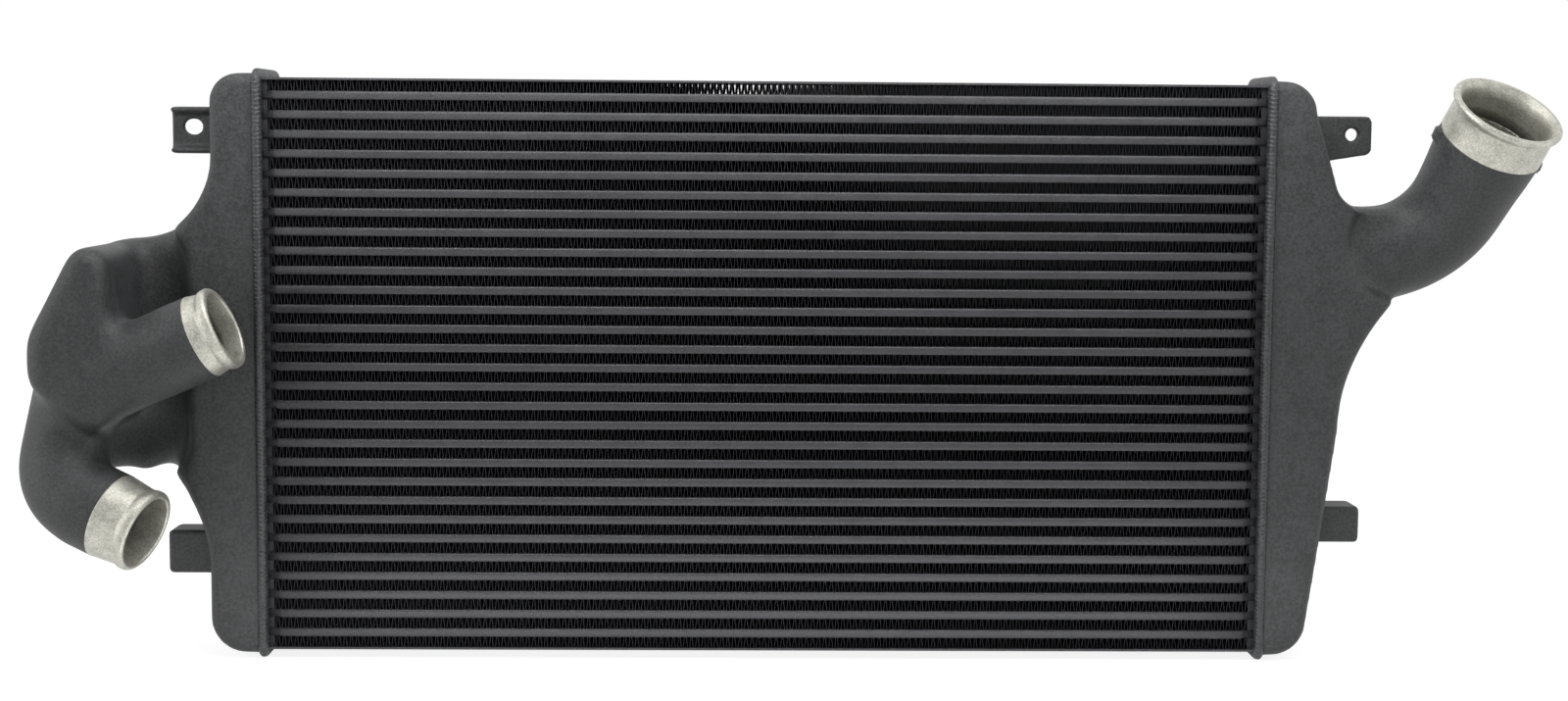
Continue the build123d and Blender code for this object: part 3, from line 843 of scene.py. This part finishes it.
# %% Fin sheet, and a strip for each row
def in_rows(node, take, instance, material):
    """One copy of an instance for each row of the core, made real, with its material."""
    step = node(COMBINE, Z=take["Row pitch"])
    start = node(COMBINE, Z=take["First row"])
    rows = node("GeometryNodeMeshLine", {"mode": "OFFSET"}, Count=take["Rows"],
                Start_Location=start, Offset=step)
    copies = node("GeometryNodeInstanceOnPoints", Points=rows, Instance=instance)
    real = node("GeometryNodeRealizeInstances", Geometry=copies)
    return node("GeometryNodeSetMaterial", Geometry=real, Material=material)


half_depth = node(MATH, "MULTIPLY", take["Depth"], 0.5)
sheet = wave.outputs[0]
push = None
for sign in (1.0, -1.0):
    along = node(COMBINE, Y=half_depth, X=node(MATH, "MULTIPLY", take["Bend"], sign))
    extrude = node("GeometryNodeExtrudeMesh", {"mode": "EDGES"}, Mesh=sheet,
                   Offset=along, Offset_Scale=1.0)
    if push is not None:
        fin_tree.links.new(push.outputs["Top"], extrude.inputs["Selection"])
    sheet = extrude.outputs["Mesh"]
    push = extrude
thick = node("GeometryNodeExtrudeMesh", {"mode": "FACES"}, Mesh=sheet,
             Offset_Scale=take["Sheet"], Individual=False)
back = node("GeometryNodeFlipFaces", Mesh=sheet)
both = node("GeometryNodeJoinGeometry")
fin_tree.links.new(thick.outputs["Mesh"], both.inputs[0])
fin_tree.links.new(back.outputs["Mesh"], both.inputs[0])
solid = node("GeometryNodeMergeByDistance", Geometry=both, Distance=0.02 * MM)
fin_tree.links.new(in_rows(node, take, solid, coated_fins).outputs[0], fin_result)
print("fin tree:", len(fin_tree.nodes), "nodes")

# %% Grow the fins
first_row = fins_low.z + fin_height / 2
for name, changes in (
        ("folded_fins", {"First row": first_row, "Rows": fin_rows - 1.0}),
        ("top_fins", {"First row": first_row + (fin_rows - 1) * row_pitch, "Rows": 1.0,
                      "Bend": TOP_BEND})):
    fins = grown(name, fin_tree, {**FIN_SIZES, **changes}, smooth=False)
    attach(fins, "root")
    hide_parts("cooling_fins")
    print(fins.name, len(fins.data.polygons), "faces")

# %% [markdown]
# ## Charge tubes
# Each tube is a flat box of sheet closed by two long bars with rounded noses. The noses
# end just short of the weld, where the tube is set back. One tube is made as a section
# moved along the core, and Geometry Nodes repeat it once a row.

# %% One charge tube
NOSE_ROUND = 1.5 * MM
NOSE_STEPS = 4
END_SETBACK = 2.2 * MM
SETBACK_FROM = core_end - 12.5 * MM
SETBACK_TO = core_end - 10.5 * MM
MIDDLE_STATIONS = 9
TUBE_SHEET = 0.5 * MM
_, passage_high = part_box("turbulators")
passage_half_depth = passage_high.y + 0.2 * MM
CORNERS = ((1, 1), (-1, 1), (-1, -1), (1, -1))


def tube_section(half_depth):
    """Outer ring, then inner ring, of a tube's section as (y, z)."""
    ring = []
    for quarter, (side, rise) in enumerate(CORNERS):
        for step in range(NOSE_STEPS + 1):
            angle = math.radians(90 * quarter + 90 * step / NOSE_STEPS)
            ring.append((
                side * (half_depth - NOSE_ROUND) + NOSE_ROUND * math.cos(angle),
                rise * (tube_height / 2 - NOSE_ROUND) + NOSE_ROUND * math.sin(angle)))
    inner = [(side * passage_half_depth, rise * (tube_height / 2 - TUBE_SHEET))
             for side, rise in CORNERS]
    return ring, inner


def tube_mesh():
    """Closed mesh of one tube, centred on the origin in height."""
    middle = np.linspace(-SETBACK_FROM, SETBACK_FROM, MIDDLE_STATIONS)
    stations = [(-core_end, END_SETBACK), (-SETBACK_TO, END_SETBACK),
                *[(x, 0.0) for x in middle],
                (SETBACK_TO, END_SETBACK), (core_end, END_SETBACK)]
    verts, faces = [], []
    for x, setback in stations:
        ring, inner = tube_section(core_half_depth - setback)
        verts += [(x, y, z) for y, z in ring + inner]
    count = len(ring) + len(inner)
    for row in range(len(stations) - 1):
        for first, ring_count in ((0, len(ring)), (len(ring), len(inner))):
            for step in range(ring_count):
                a = row * count + first + step
                b = row * count + first + (step + 1) % ring_count
                faces.append((a, b, b + count, a + count))
    mesh = bpy.data.meshes.new("charge_tube")
    mesh.from_pydata(verts, [], faces)
    shape = bmesh.new()
    shape.from_mesh(mesh)
    for end_x in (-core_end, core_end):
        ends = [edge for edge in shape.edges if edge.is_boundary
                and abs(edge.verts[0].co.x - end_x) < SAME_POINT]
        bmesh.ops.bridge_loops(shape, edges=ends)
    shape.to_mesh(mesh)
    shape.free()
    face_outwards(mesh)
    return mesh


one_tube = add_object("one_tube", tube_mesh())
print("one tube:", len(one_tube.data.polygons), "faces")

# %% Repeat the tube
tube_count = fin_rows - 1
TUBE_SIZES = {"Row pitch": row_pitch, "Rows": float(tube_count),
              "First row": tube_low.z + tube_height / 2}
tube_tree, take, tube_result = new_tree("charge_tubes", TUBE_SIZES)
node = partial(add_node, tube_tree)
template = node("GeometryNodeObjectInfo", Object=one_tube)
coated = in_rows(node, take, template.outputs["Geometry"], coated_core)
tube_tree.links.new(coated.outputs[0], tube_result)
tubes = grown("charge_tubes", tube_tree, TUBE_SIZES)
bpy.data.objects.remove(one_tube)
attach(tubes, "root")
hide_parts(*[f"charge_tube_{row + 1:02d}" for row in range(tube_count)])
print(tubes.name, len(tubes.data.polygons), "faces")

# %% [markdown]
# ## Header bars
# Short bars close the fin rows at both ends. They lie a few millimetres deeper than the
# tubes' noses, in the shade of the weld bead. They wear the fins' darker coat as painted
# shade for that crevice. Their solids lie flush with the tubes, so a copy of each is set
# back.

# %% Set the header bars back
HEADER_SETBACK = 4.0 * MM
limit = core_half_depth - HEADER_SETBACK
for node_name in ("left_header_bars", "right_header_bars"):
    mesh = nodes[node_name].data.copy()
    bars = add_object(node_name + "_set_back", mesh)
    for vert in mesh.vertices:
        vert.co.y = max(-limit, min(limit, vert.co.y))
    mesh.materials.clear()
    # the fins' darker coat on these bars is painted shade for the crevice beside the weld
    mesh.materials.append(coated_fins)
    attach(bars, "root")
    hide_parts(node_name)
    print(bars.name, len(mesh.polygons), "faces")

# %% [markdown]
# ## Plates and turbulators
# The side plates and the turbulators inside the tubes keep their CAD shape. They only
# need the coat, or bare metal, in their material slots.

# %% Coat the carried-over pieces
coats = {"coated_core": coated_core, "coated_weld": coated_weld,
         "coated_fins": coated_fins, "coated_casting": coated_casting,
         "bare_aluminium": bare_aluminium}
slots = {part["node"]: part["material_slot"] for part in frame["record"]["subparts"]}
for node_name, cad_node in nodes.items():
    for material_slot in cad_node.material_slots:
        material_slot.material = coats[slots[node_name]]
print("coated", len(nodes), "nodes")

# %% Size of the CAD frame
print("cad box", [round(v, 4) for v in (*cad_low, *cad_high)])
